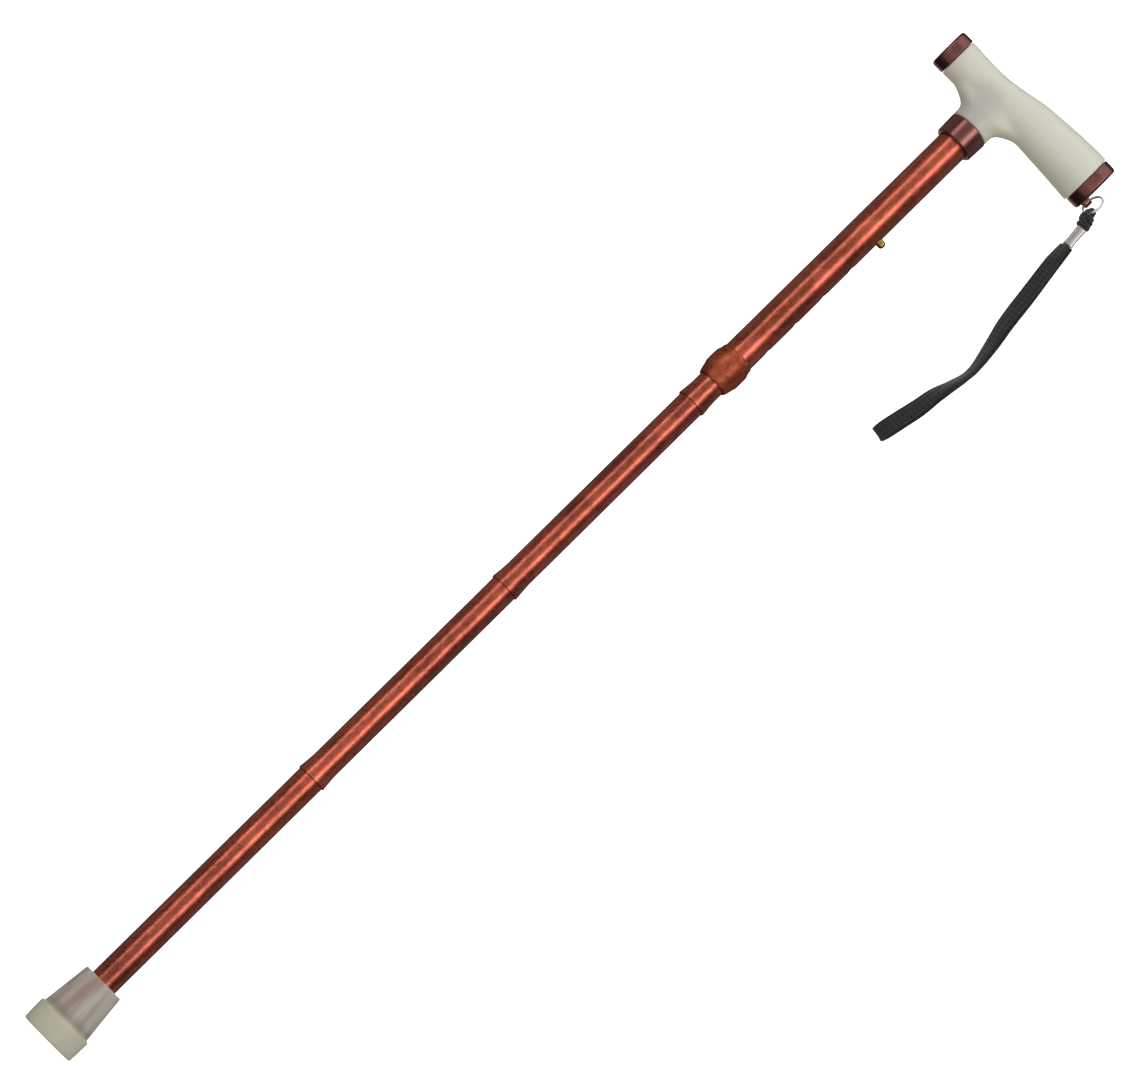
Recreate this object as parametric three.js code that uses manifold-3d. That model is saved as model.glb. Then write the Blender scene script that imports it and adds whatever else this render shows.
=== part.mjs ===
// A folding, height-adjustable walking stick with a gel T-handle and a wrist strap.
// Millimetres, +Z up the shaft, +X towards the long rear arm of the handle.
// The origin is the middle of the rubber tip's underside, where the stick stands.
import * as THREE from 'three';
import { mergeVertices } from 'three/addons/utils/BufferGeometryUtils.js';
import Module from 'manifold-3d';

const wasm = await Module();
wasm.setup();

// ---- driving dimensions -------------------------------------------------------------------
const GAP = 0.3; // between neighbouring solids that touch
const ROUND = 36; // sides of the tubes and other large round parts
const ROUND_INNER = 24; // sides of the parts inside them
const ROUND_SMALL = 12; // sides of cords and holes

const SHAFT_R = 9.525; // 3/4 in lower tubes
const WALL = 1.0;
const SHAFT_BORE_R = SHAFT_R - WALL;
const HANDLE_TUBE_R = 11; // 22 mm upper tube
const HANDLE_BORE_R = HANDLE_TUBE_R - WALL;

const JOINT_Z = [559.6, 393.2, 224.6]; // mouths of the three folding joints, from the top
const MOUTH_R = 10.6; // outside of the flared mouth
const MOUTH_LENGTH = 13;
const MOUTH_FLARE = MOUTH_R - SHAFT_R;

const SPIGOT_LENGTH = 20; // stands up into the mouth above it
const SPIGOT_PLUG = 28; // sits down in its own tube
const SPIGOT_BASE_R = 9.3;
const SPIGOT_SEAT_R = 7.95; // at the top of the conical seat
const SPIGOT_SEAT = 10;
const SPIGOT_NOSE_R = 4.4;

const CORD_R = 2.2; // elastic shock cord
const CORD_HOLE_R = CORD_R + 0.5;
const CORD_ABOVE = 40; // length of a joint's own cord above its line
const CORD_BELOW = 60; // and below it, which the joint draws out
const KNOT_R = 4.2;
const KNOT_LENGTH = 7.5;
const ANCHOR_LENGTH = 8;
const TOP_ANCHOR_Z = 660;
const BOTTOM_ANCHOR_Z = 60;

const HANDLE_TUBE_Z = [588, 812];
const ADJUST_TOP_Z = 742;
const BUTTON_Z = 719.8;
const BUTTON_R = 2.8;
const BUTTON_PROUD = 4.4; // above the outer tube
const BUTTON_HOLE_R = 3.1;
const HOLE_PITCH = 25.4;
const HOLE_COUNT = 5;

const RING_Z = [578.2, 602.2];
const RING_R = 13.15;
const THREAD_R = 12;
const THREAD_PITCH = 2;
const RING_BORE_R = THREAD_R + GAP;
const LIP_R = 9.95;
const LIP_TOP_Z = 581.2;

const COLLAR_Z = [798.9, 813.5];
const COLLAR_R = [13.85, 14.2];

const GRIP_X = [-37.9, 75.3];
const NECK_TOP_Z = 834.9; // inside the bar
const FRONT_CAP = { x: [-47.2, -38.2], r: 14.1, z: 842.2 };
const REAR_CAP = { x: [75.6, 84.5], r: 17.4, z: 845.8 };
const CORE_Z = 842.7; // axis of the bar inside the grip
const CORE_BAR_R = 7;
const CORE_STEM_R = 9;
const CORE_TOP_Z = 849.2;
const CORE_PLUG_R = HANDLE_BORE_R - GAP;
const CORE_PLUG_Z = 782;

const TIP_TOP_Z = 48;
const TIP_FLANGE_Z = 15.6;
const TIP_FLOOR_Z = 14.8;
const TIP_BORE_R = SHAFT_R + GAP;
const WASHER_Z = TIP_FLOOR_Z + GAP;
const WASHER_THICK = 1.5;
const BOTTOM_TUBE_Z = WASHER_Z + WASHER_THICK + GAP;

const EYE = new THREE.Vector3(86, 0, 835.3); // middle of the strap eye on the rear cap
const EYE_R = 1.5;
const EYE_WALL_R = 2.7;
const EYE_HEIGHT = 5.4;
const RING_WIRE_R = 0.65;
const SPLIT_RING_R = 7.2;
const SWIVEL = -1; // the split ring hangs turned towards -Y
const LOOP_LEAN = 0.6; // radians round the ring from its lowest point
const LOOP_CORD_R = 1.1;
const LOOP_HALF_WIDTH = 2.7;
const LOOP_PLAY = 1.1; // between the loop and the ring, and over the slanted crimp
const CRIMP_SIZE = [6.6, 5.8];
const CRIMP_TOP = new THREE.Vector3(95.4, -9.5, 817.6);
const CRIMP_BOTTOM = new THREE.Vector3(96.5, -9.5, 803.2);
const STRAP_WIDTH = 10;
const STRAP_THICK = 1.3;

// ---- materials ----------------------------------------------------------------------------
const PAINT = {
  gel: [0xc4c4b2, 0.55, 0],
  core: [0x8d8794, 0.6, 0],
  maroon: [0x6b3a38, 0.4, 0.4],
  copper: [0x96432c, 0.28, 0.75],
  copperTrim: [0xb0563c, 0.35, 0.7],
  brass: [0xc9ad62, 0.3, 0.9],
  steel: [0xb8bcc0, 0.3, 0.9],
  plastic: [0x202022, 0.6, 0],
  spigot: [0x8a8c90, 0.45, 0.6],
  elastic: [0x2a2a2c, 0.85, 0],
  tip: [0xb5b2a0, 0.6, 0],
  webbing: [0x191716, 0.9, 0],
};

function piece(name, geometry, paint) {
  const [color, roughness, metalness] = PAINT[paint];
  const mesh = new THREE.Mesh(geometry, new THREE.MeshStandardMaterial({ color, roughness, metalness }));
  mesh.name = name;
  return mesh;
}

// ---- shape helpers ------------------------------------------------------------------------
// A profile of [radius, z] points turned about Z. The outside is walked upwards.
function turned(profile, sides = ROUND) {
  const points = profile.map(([r, z]) => new THREE.Vector2(r, z));
  return new THREE.LatheGeometry(points, sides).rotateX(Math.PI / 2);
}

// The same for a part with a hole through it: the profile closes on itself.
function turnedRing(profile, sides = ROUND) {
  return turned([...profile, profile[0]], sides);
}

function rod(r, z0, z1, sides = ROUND) {
  return turned([[0, z0], [r, z0], [r, z1], [0, z1]], sides);
}

// A plain tube.
function sleeve(outer, bore, z0, z1, sides = ROUND) {
  return turnedRing([[outer, z0], [outer, z1], [bore, z1], [bore, z0]], sides);
}

function toSolid(geometry) {
  const bare = geometry.clone();
  bare.deleteAttribute('normal');
  bare.deleteAttribute('uv');
  const merged = mergeVertices(bare, 1e-4);
  const vertProperties = new Float32Array(merged.attributes.position.array);
  const triVerts = new Uint32Array(merged.index.array);
  return new wasm.Manifold(new wasm.Mesh({ numProp: 3, vertProperties, triVerts }));
}

function toGeometry(solid) {
  const { vertProperties, triVerts } = solid.getMesh();
  const geometry = new THREE.BufferGeometry();
  geometry.setAttribute('position', new THREE.BufferAttribute(new Float32Array(vertProperties), 3));
  geometry.setIndex(new THREE.BufferAttribute(new Uint32Array(triVerts), 1));
  return geometry;
}

function join(first, ...others) {
  return toGeometry(others.reduce((solid, other) => solid.add(toSolid(other)), toSolid(first)));
}

function cut(first, ...others) {
  return toGeometry(others.reduce((solid, other) => solid.subtract(toSolid(other)), toSolid(first)));
}

// A rod along X, for the handle's bar, the caps and the button's holes.
function rodAlongX(r, x0, x1, z, sides = ROUND) {
  return rod(r, x0, x1, sides).rotateY(Math.PI / 2).translate(0, 0, z);
}

// A round or flat section swept along a curve.
function swept(section, path, steps) {
  return new THREE.ExtrudeGeometry(section, { steps, extrudePath: path, curveSegments: 3 });
}

function disc(r, sides) {
  const shape = new THREE.Shape();
  for (let i = 0; i < sides; i += 1) {
    const turn = (2 * Math.PI * i) / sides;
    const move = i === 0 ? 'moveTo' : 'lineTo';
    shape[move](r * Math.cos(turn), r * Math.sin(turn));
  }
  return shape.closePath();
}

function rectangle(width, height, corner) {
  const [w, h] = [width / 2, height / 2];
  return new THREE.Shape()
    .moveTo(-w + corner, -h)
    .lineTo(w - corner, -h)
    .lineTo(w, -h + corner)
    .lineTo(w, h - corner)
    .lineTo(w - corner, h)
    .lineTo(-w + corner, h)
    .lineTo(-w, h - corner)
    .lineTo(-w, -h + corner)
    .closePath();
}

// ---- shaft --------------------------------------------------------------------------------
// The flare of a tube's mouth: how much wider the wall is at a height above the mouth.
function flareAt(height) {
  const t = Math.min(height / MOUTH_LENGTH, 1);
  return MOUTH_FLARE * (1 - t) ** 1.5;
}

function flaredTube(mouthZ, topZ) {
  const outside = [0, 2.5, 6, MOUTH_LENGTH].map((h) => [SHAFT_R + flareAt(h), mouthZ + h]);
  const seat = [[SHAFT_BORE_R, mouthZ + MOUTH_LENGTH], [SHAFT_BORE_R + MOUTH_FLARE, mouthZ]];
  return turnedRing([...outside, [SHAFT_R, topZ], [SHAFT_BORE_R, topZ], ...seat]);
}

// Built about its joint line, z = 0: a plug in the lower tube, a conical seat and a rounded nose.
function spigot() {
  const nose = [];
  for (let i = 1; i <= 4; i += 1) {
    const t = i / 4;
    const r = SPIGOT_SEAT_R - (SPIGOT_SEAT_R - SPIGOT_NOSE_R) * t ** 1.25;
    nose.push([r, SPIGOT_SEAT + (SPIGOT_LENGTH - SPIGOT_SEAT) * t]);
  }
  return turnedRing([
    [SHAFT_BORE_R - GAP, -SPIGOT_PLUG],
    [SHAFT_BORE_R - GAP, -GAP],
    [SPIGOT_BASE_R, -GAP],
    [SPIGOT_SEAT_R, SPIGOT_SEAT],
    ...nose,
    [CORD_HOLE_R, SPIGOT_LENGTH],
    [CORD_HOLE_R, -SPIGOT_PLUG],
  ], ROUND_INNER);
}

function cordAnchor(z) {
  return sleeve(SHAFT_BORE_R - GAP, CORD_HOLE_R, z, z + ANCHOR_LENGTH, ROUND_INNER);
}

function cordLength(z0, z1) {
  return rod(CORD_R, z0, z1, ROUND_SMALL);
}

// The cord that stays inside a section, between the lengths that its two joints draw out.
function cordBetween(lowerJoint, upperJoint) {
  return cordLength(lowerJoint + CORD_ABOVE + GAP, upperJoint - CORD_BELOW - GAP);
}

// A cord that ends in a knot behind its anchor. up is 1 when the knot is its upper end.
function knottedCord(freeZ, knotZ, up) {
  const profile = [
    [0, freeZ],
    [CORD_R, freeZ],
    [CORD_R, knotZ],
    [KNOT_R, knotZ + up * 1.6],
    [KNOT_R, knotZ + up * (KNOT_LENGTH - 2.2)],
    [CORD_R, knotZ + up * KNOT_LENGTH],
    [0, knotZ + up * KNOT_LENGTH],
  ];
  return turned(up > 0 ? profile : profile.reverse(), ROUND_SMALL);
}

// ---- handle -------------------------------------------------------------------------------
// A closed cylinder whose rings are moved so that place(t, turn) gives each point.
function shaped(sides, rings, place) {
  const geometry = new THREE.CylinderGeometry(1, 1, 1, sides, rings);
  const position = geometry.attributes.position;
  const point = new THREE.Vector3();
  for (let i = 0; i < position.count; i += 1) {
    point.fromBufferAttribute(position, i);
    const onAxis = Math.hypot(point.x, point.z) < 1e-6;
    place(point, point.y + 0.5, Math.atan2(point.z, point.x), onAxis ? 0 : 1);
    position.setXYZ(i, point.x, point.y, point.z);
  }
  return geometry;
}

const gripTop = new THREE.SplineCurve([
  [-38.2, 856.2], [-21.7, 855.6], [-6.2, 855.9], [10.3, 858.5],
  [23.7, 861.2], [42.3, 862.8], [59.9, 863.7], [75.9, 863.8],
].map(([x, z]) => new THREE.Vector2(x, z)));

const gripUnderside = new THREE.SplineCurve([
  [-38.2, 828.2], [-20.6, 828.6], [0, 829.8], [25.8, 829.6], [41.3, 828.9], [54.7, 828.4], [75.9, 827.1],
].map(([x, z]) => new THREE.Vector2(x, z)));

// The height of an outline at x, which rises steadily along the outline.
function heightAt(outline, x) {
  let [low, high] = [0, 1];
  for (let i = 0; i < 30; i += 1) {
    const middle = (low + high) / 2;
    if (outline.getPoint(middle).x < x) {
      low = middle;
    } else {
      high = middle;
    }
  }
  return outline.getPoint(low).y;
}

function gripBar() {
  return shaped(ROUND, 16, (point, t, turn, out) => {
    const x = THREE.MathUtils.lerp(GRIP_X[1], GRIP_X[0], t);
    const top = heightAt(gripTop, x);
    const underside = heightAt(gripUnderside, x);
    const half = (top - underside) / 2;
    const slim = 1 - 0.07 * Math.sin(Math.PI * t);
    point.set(x, out * half * slim * Math.cos(turn), (top + underside) / 2 + out * half * Math.sin(turn));
  });
}

// The neck rises straight from the collar, then flares into the bar, further to the front.
function gripNeck() {
  const bottomZ = COLLAR_Z[1] + GAP;
  const [flareZ, flareHeight] = [819.9, 10.5];
  const height = NECK_TOP_Z - bottomZ;
  return shaped(ROUND, 9, (point, t, turn, out) => {
    const z = bottomZ + height * t;
    const spread = THREE.MathUtils.clamp((z - flareZ) / flareHeight, 0, 1) ** 2;
    const front = 14.3 + 19.6 * spread;
    const rear = 13.9 + 15.5 * spread;
    const side = 14.1 - 3.6 * spread;
    const across = Math.cos(turn);
    const reach = across < 0 ? front : rear;
    point.set(out * reach * across, -out * side * Math.sin(turn), z);
  });
}

function gelGrip() {
  const hollow = [
    rodAlongX(CORE_BAR_R + GAP, GRIP_X[0] - 1, GRIP_X[1] + 1, CORE_Z, ROUND_INNER),
    rod(CORE_STEM_R + GAP, COLLAR_Z[1] - 1, CORE_TOP_Z + GAP, ROUND_INNER),
  ];
  return cut(join(gripBar(), gripNeck()), ...hollow);
}

function gripCore() {
  const bar = rodAlongX(CORE_BAR_R, GRIP_X[0], GRIP_X[1], CORE_Z, ROUND_INNER);
  const stem = turned([
    [0, CORE_PLUG_Z],
    [CORE_PLUG_R, CORE_PLUG_Z],
    [CORE_PLUG_R, HANDLE_TUBE_Z[1]],
    [CORE_STEM_R, HANDLE_TUBE_Z[1]],
    [CORE_STEM_R, CORE_TOP_Z - 2],
    [CORE_STEM_R - 2, CORE_TOP_Z],
    [0, CORE_TOP_Z],
  ], ROUND_INNER);
  return join(stem, bar);
}

function endCap({ x, r, z }, outward) {
  const edge = 0.9;
  const [inner, outer] = outward > 0 ? x : [x[1], x[0]];
  const profile = [
    [0, inner],
    [r, inner],
    [r, outer - outward * edge],
    [r - edge, outer],
    [0, outer],
  ];
  return turned(outward > 0 ? profile : profile.reverse()).rotateY(Math.PI / 2).translate(0, 0, z);
}

// The rear cap carries a tab with a vertical eye for the split ring.
function rearEndCap() {
  const tab = new THREE.Shape()
    .moveTo(REAR_CAP.x[1] - 1 - EYE.x, -EYE_WALL_R)
    .lineTo(0, -EYE_WALL_R)
    .absarc(0, 0, EYE_WALL_R, -Math.PI / 2, Math.PI / 2)
    .lineTo(REAR_CAP.x[1] - 1 - EYE.x, EYE_WALL_R)
    .closePath();
  const lug = new THREE.ExtrudeGeometry(tab, { depth: EYE_HEIGHT, bevelEnabled: false, curveSegments: 10 });
  lug.translate(EYE.x, EYE.y, EYE.z - EYE_HEIGHT / 2);
  const eye = rod(EYE_R, -EYE_HEIGHT, EYE_HEIGHT, ROUND_SMALL).translate(EYE.x, EYE.y, EYE.z);
  return cut(join(endCap(REAR_CAP, 1), lug), eye);
}

function handleCollar() {
  const [low, high] = COLLAR_Z;
  return turnedRing([
    [COLLAR_R[0] - 0.5, low],
    [COLLAR_R[0], low + 0.5],
    [COLLAR_R[1], high - 0.4],
    [COLLAR_R[1] - 0.4, high],
    [HANDLE_TUBE_R + GAP, high],
    [HANDLE_TUBE_R + GAP, low],
  ]);
}

function handleTube() {
  const [low, high] = HANDLE_TUBE_Z;
  const wall = sleeve(HANDLE_TUBE_R, HANDLE_BORE_R, low, high);
  const holes = [];
  for (let i = 0; i < HOLE_COUNT; i += 1) {
    holes.push(rodAlongX(BUTTON_HOLE_R, 5, 15, BUTTON_Z - i * HOLE_PITCH, ROUND_SMALL));
  }
  return cut(wall, ...holes);
}

// The sleeve on the outer tube's lower end, with the ridges that the lock ring screws on.
function threadedSleeve() {
  const [low, high] = [588.6, 595];
  const ridges = [];
  for (let z = low; z < high; z += THREAD_PITCH) {
    ridges.push([THREAD_R - 0.3, z], [THREAD_R, z + THREAD_PITCH / 2]);
  }
  const bore = [[HANDLE_TUBE_R + 0.25, high], [HANDLE_TUBE_R + 0.25, low]];
  return turnedRing([...ridges, [THREAD_R - 0.3, high], ...bore], ROUND_INNER);
}

// ---- height adjustment --------------------------------------------------------------------
function lockRing() {
  const [low, high] = RING_Z;
  return turnedRing([
    [RING_R - 2.65, low],
    [RING_R - 2.25, low + 0.7],
    [RING_R - 1.55, low + 2.8],
    [RING_R - 0.65, low + 6.8],
    [RING_R - 0.15, low + 8.2],
    [RING_R, low + 9.4],
    [RING_R, high - 6.8],
    [RING_R - 0.2, high - 5.4],
    [RING_R - 0.85, high - 4],
    [RING_R - 1.25, high - 2.2],
    [RING_R - 1.4, high - 0.6],
    [RING_R - 1.75, high],
    [HANDLE_TUBE_R + GAP, high],
    [HANDLE_TUBE_R + GAP, high - 4.6],
    [RING_BORE_R, high - 5.4],
    [RING_BORE_R, LIP_TOP_Z + 6.8],
    [RING_BORE_R - 1.4, LIP_TOP_Z],
    [LIP_R, LIP_TOP_Z],
    [LIP_R, low + 0.4],
  ]);
}

// A split ring of plastic that the lock ring wedges against the inner tube.
function lockCollet() {
  const [low, high] = [LIP_TOP_Z + GAP, HANDLE_TUBE_Z[0] - GAP];
  const ring = turnedRing([
    [RING_BORE_R - 1.7, low],
    [RING_BORE_R - 0.4, high],
    [SHAFT_R + 0.25, high],
    [SHAFT_R + 0.25, low],
  ]);
  const slit = new THREE.BoxGeometry(8, 1.4, 20).translate(-SHAFT_R - 2, 0, (low + high) / 2);
  return cut(ring, slit);
}

function adjustTube() {
  const tube = flaredTube(JOINT_Z[0], ADJUST_TOP_Z);
  return cut(tube, rodAlongX(BUTTON_HOLE_R, 5, 12, BUTTON_Z, ROUND_SMALL));
}

function guideBush() {
  return turnedRing([
    [SHAFT_BORE_R - GAP, ADJUST_TOP_Z - 8],
    [SHAFT_BORE_R - GAP, ADJUST_TOP_Z + GAP],
    [HANDLE_BORE_R - GAP, ADJUST_TOP_Z + GAP],
    [HANDLE_BORE_R - GAP, ADJUST_TOP_Z + 3.3],
    [6.2, ADJUST_TOP_Z + 3.3],
    [6.2, ADJUST_TOP_Z - 8],
  ], ROUND_INNER);
}

// One stamped clip: a domed button at the end of a V-shaped leaf inside the inner tube.
function snapButton() {
  const [bend, width, thick] = [2.2, 6, 0.6];
  const inner = bend - thick;
  const foot = BUTTON_Z - 26;
  const leaf = new THREE.Shape()
    .moveTo(7.4, BUTTON_Z + 4)
    .lineTo(6.8, BUTTON_Z + 4)
    .lineTo(inner, foot)
    .absarc(0, foot, inner, 0, Math.PI, true)
    .lineTo(-7, BUTTON_Z + 2)
    .lineTo(-7.6, BUTTON_Z + 2)
    .lineTo(-bend, foot)
    .absarc(0, foot, bend, Math.PI, 2 * Math.PI, false)
    .closePath();
  const spring = new THREE.ExtrudeGeometry(leaf, { depth: width, bevelEnabled: false, curveSegments: 6 });
  spring.translate(0, 0, -width / 2).rotateX(Math.PI / 2);
  const tipX = HANDLE_TUBE_R + BUTTON_PROUD;
  const dome = [];
  for (let i = 0; i <= 4; i += 1) {
    const turn = (Math.PI / 2) * (i / 4);
    dome.push([BUTTON_R * Math.cos(turn), tipX - 2.2 + 2.2 * Math.sin(turn)]);
  }
  dome[4][0] = 0;
  const head = turned([[0, 6.9], [BUTTON_R, 6.9], ...dome], ROUND_SMALL);
  head.rotateY(Math.PI / 2).translate(0, 0, BUTTON_Z);
  return join(spring, head);
}

// ---- tip ----------------------------------------------------------------------------------
function rubberTip() {
  const tread = [[7.5, 0], [8, 1.2], [9.6, 1.2], [10.1, 0], [13, 0], [13.5, 1.2], [15, 1.2], [15.5, 0]];
  return turned([
    [0, 0],
    ...tread,
    [18.6, 0],
    [19.35, 0.9],
    [19.75, TIP_FLANGE_Z - 0.8],
    [19.2, TIP_FLANGE_Z],
    [17.8, TIP_FLANGE_Z + 0.4],
    [14.4, TIP_TOP_Z - 0.5],
    [13.9, TIP_TOP_Z],
    [TIP_BORE_R, TIP_TOP_Z],
    [TIP_BORE_R, TIP_FLOOR_Z],
    [0, TIP_FLOOR_Z],
  ]);
}

function tipWasher() {
  return sleeve(SHAFT_R - 0.2, 3, WASHER_Z, WASHER_Z + WASHER_THICK, ROUND_INNER);
}

function bottomTube(topZ) {
  return sleeve(SHAFT_R, SHAFT_BORE_R, BOTTOM_TUBE_Z, topZ);
}

// ---- wrist strap --------------------------------------------------------------------------
// Built about the eye: the ring passes upright through it.
function splitRing() {
  const section = [];
  for (let i = 0; i < 8; i += 1) {
    const turn = (2 * Math.PI * i) / 8;
    section.push([SPLIT_RING_R + RING_WIRE_R * Math.cos(turn), RING_WIRE_R * Math.sin(turn)]);
  }
  return turnedRing(section, ROUND_INNER).rotateX(Math.PI / 2).translate(SPLIT_RING_R, 0, 0);
}

// An arch over the ring's wire, in the plane across the ring. Its two ends meet the crimp.
function strapLoop() {
  const across = new THREE.Vector3(-Math.sin(SWIVEL), Math.cos(SWIVEL), 0);
  const along = new THREE.Vector3(Math.cos(SWIVEL), Math.sin(SWIVEL), 0);
  const crown = EYE.clone()
    .addScaledVector(along, SPLIT_RING_R * (1 + Math.sin(LOOP_LEAN)))
    .setZ(EYE.z - SPLIT_RING_R * Math.cos(LOOP_LEAN) + RING_WIRE_R + LOOP_CORD_R + LOOP_PLAY);
  const foot = CRIMP_TOP.clone().setZ(CRIMP_TOP.z + LOOP_PLAY);
  const at = (point, side, rise) => point.clone().addScaledVector(across, side).setZ(point.z + rise);
  const path = new THREE.CatmullRomCurve3([
    at(foot, -1.35, 0),
    at(foot, -2.2, 2.6),
    at(crown, -LOOP_HALF_WIDTH, -2.6),
    at(crown, -LOOP_HALF_WIDTH * 0.7, -0.7),
    crown,
    at(crown, LOOP_HALF_WIDTH * 0.7, -0.7),
    at(crown, LOOP_HALF_WIDTH, -2.6),
    at(foot, 2.2, 2.6),
    at(foot, 1.35, 0),
  ]);
  return swept(disc(LOOP_CORD_R, 8), path, 22);
}

function strapCrimp() {
  const path = new THREE.LineCurve3(CRIMP_TOP, CRIMP_BOTTOM);
  return swept(rectangle(CRIMP_SIZE[1], CRIMP_SIZE[0], 1), path, 1);
}

// One length of flat webbing: down, round the hand end and back up to the crimp.
function wristStrap() {
  const route = [
    [96.5, 802.7, 1.05],
    [97.9, 786, 1.6],
    [101.1, 762, 1.9],
    [104, 739, 1.9],
    [107.2, 723, 1.9],
    [109.9, 706, 1.9],
    [109.8, 696, 1.9],
    [107.2, 684, 1.9],
    [104.5, 673, 2],
    [102.6, 660, 2.2],
    [100.1, 648, 2.6],
    [97.9, 637.5, 3],
  ];
  const out = route.map(([x, z, half]) => new THREE.Vector3(x, CRIMP_TOP.y - half, z));
  const back = route.map(([x, z, half]) => new THREE.Vector3(x, CRIMP_TOP.y + half, z)).reverse();
  const turn = new THREE.Vector3(96.2, CRIMP_TOP.y, 629.6);
  const path = new THREE.CatmullRomCurve3([...out, turn, ...back]);
  return swept(rectangle(STRAP_THICK, STRAP_WIDTH, 0.3), path, 60);
}

// ---- assembly -----------------------------------------------------------------------------
const handle = new THREE.Group();
handle.add(
  piece('gel_grip', gelGrip(), 'gel'),
  piece('grip_core', gripCore(), 'core'),
  piece('front_end_cap', endCap(FRONT_CAP, -1), 'maroon'),
  piece('rear_end_cap', rearEndCap(), 'maroon'),
  piece('handle_collar', handleCollar(), 'maroon'),
  piece('handle_tube', handleTube(), 'copper'),
  piece('threaded_sleeve', threadedSleeve(), 'plastic'),
  piece('lock_collet', lockCollet(), 'plastic'),
  piece('lock_ring', lockRing(), 'copperTrim'),
);

const topKnotZ = TOP_ANCHOR_Z + ANCHOR_LENGTH + GAP;
const adjuster = new THREE.Group();
adjuster.add(
  piece('adjust_tube', adjustTube(), 'copper'),
  piece('guide_bush', guideBush(), 'plastic'),
  piece('snap_button', snapButton(), 'brass'),
  piece('cord_anchor_top', cordAnchor(TOP_ANCHOR_Z), 'plastic'),
  piece('cord_top', knottedCord(JOINT_Z[0] + CORD_ABOVE + GAP, topKnotZ, 1), 'elastic'),
);

// Each joint: the spigot of the section below it, and the length of cord that bends and is drawn out.
const joints = new THREE.Group();
JOINT_Z.forEach((z, i) => {
  const at = new THREE.Group();
  at.position.z = z;
  at.add(
    piece(`spigot_${i + 1}`, spigot(), 'spigot'),
    piece(`cord_joint_${i + 1}`, cordLength(-CORD_BELOW, CORD_ABOVE), 'elastic'),
  );
  joints.add(at);
});

const sections = new THREE.Group();
sections.add(
  piece('section_2_tube', flaredTube(JOINT_Z[1], JOINT_Z[0] - 2 * GAP), 'copper'),
  piece('cord_middle_2', cordBetween(JOINT_Z[1], JOINT_Z[0]), 'elastic'),
  piece('section_3_tube', flaredTube(JOINT_Z[2], JOINT_Z[1] - 2 * GAP), 'copper'),
  piece('cord_middle_3', cordBetween(JOINT_Z[2], JOINT_Z[1]), 'elastic'),
  piece('section_4_tube', bottomTube(JOINT_Z[2] - 2 * GAP), 'copper'),
  piece('cord_bottom', knottedCord(JOINT_Z[2] - CORD_BELOW - GAP, BOTTOM_ANCHOR_Z - GAP, -1), 'elastic'),
  piece('cord_anchor_bottom', cordAnchor(BOTTOM_ANCHOR_Z), 'plastic'),
  piece('tip_washer', tipWasher(), 'steel'),
  piece('rubber_tip', rubberTip(), 'tip'),
);

const ring = piece('split_ring', splitRing(), 'steel');
ring.position.copy(EYE);
ring.rotation.z = SWIVEL;

const strap = new THREE.Group();
strap.add(
  ring,
  piece('strap_loop', strapLoop(), 'webbing'),
  piece('strap_crimp', strapCrimp(), 'steel'),
  piece('wrist_strap', wristStrap(), 'webbing'),
);

const walkingStick = new THREE.Group();
walkingStick.add(handle, adjuster, joints, sections, strap);
export default walkingStick;
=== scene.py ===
"""A folding walking stick: smooth visible pieces, materials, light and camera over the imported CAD."""
import math

import bmesh
import bpy
import numpy as np
from mathutils import Matrix, Vector


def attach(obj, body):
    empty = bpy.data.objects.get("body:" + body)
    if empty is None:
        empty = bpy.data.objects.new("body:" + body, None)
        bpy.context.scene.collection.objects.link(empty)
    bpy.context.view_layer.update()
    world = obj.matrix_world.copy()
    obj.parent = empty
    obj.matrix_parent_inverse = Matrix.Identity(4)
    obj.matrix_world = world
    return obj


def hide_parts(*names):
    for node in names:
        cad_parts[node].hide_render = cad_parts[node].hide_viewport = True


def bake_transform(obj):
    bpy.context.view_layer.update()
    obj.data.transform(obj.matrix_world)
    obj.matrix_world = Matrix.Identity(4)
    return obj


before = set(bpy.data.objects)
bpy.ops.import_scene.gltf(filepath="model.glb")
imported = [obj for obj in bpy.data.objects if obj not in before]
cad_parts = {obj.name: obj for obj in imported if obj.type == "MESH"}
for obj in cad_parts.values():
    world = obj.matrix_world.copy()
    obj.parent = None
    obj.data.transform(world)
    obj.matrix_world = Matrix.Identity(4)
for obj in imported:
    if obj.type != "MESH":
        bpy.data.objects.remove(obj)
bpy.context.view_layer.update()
MM = 0.001

# ---- dimensions, in millimetres, as in the CAD ---------------------------------------------
GAP = 0.3
JOINT_Z = [559.6, 393.2, 224.6]
SHAFT_R, SHAFT_BORE_R = 9.525, 8.525
MOUTH_R, MOUTH_LENGTH = 10.6, 13
HANDLE_TUBE_R, HANDLE_BORE_R, HANDLE_TUBE_Z = 11, 10, (588, 812)
ADJUST_TOP_Z = 742
BUTTON_Z, BUTTON_R, BUTTON_TIP_X, HOLE_PITCH = 719.8, 2.8, 15.4, 25.4
RING_Z, RING_R, RING_BORE_R, LIP_TOP_Z, LIP_R = (578.2, 602.2), 13.15, 12.3, 581.2, 9.95
COLLAR_Z, COLLAR_R = (798.9, 813.5), (13.85, 14.2)
GRIP_X = (-37.9, 75.3)
FRONT_CAP = dict(x=(-38.2, -47.2), r=14.1, z=842.2)
REAR_CAP = dict(x=(75.6, 84.5), r=17.4, z=845.8)
CORE_Z, CORE_TOP_Z = 842.7, 849.2
TIP_TOP_Z, TIP_FLANGE_Z, TIP_FLOOR_Z = 48, 15.6, 14.8
EYE, EYE_R, EYE_WALL_R, EYE_HEIGHT = Vector((86, 0, 835.3)), 1.5, 2.7, 5.4
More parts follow.
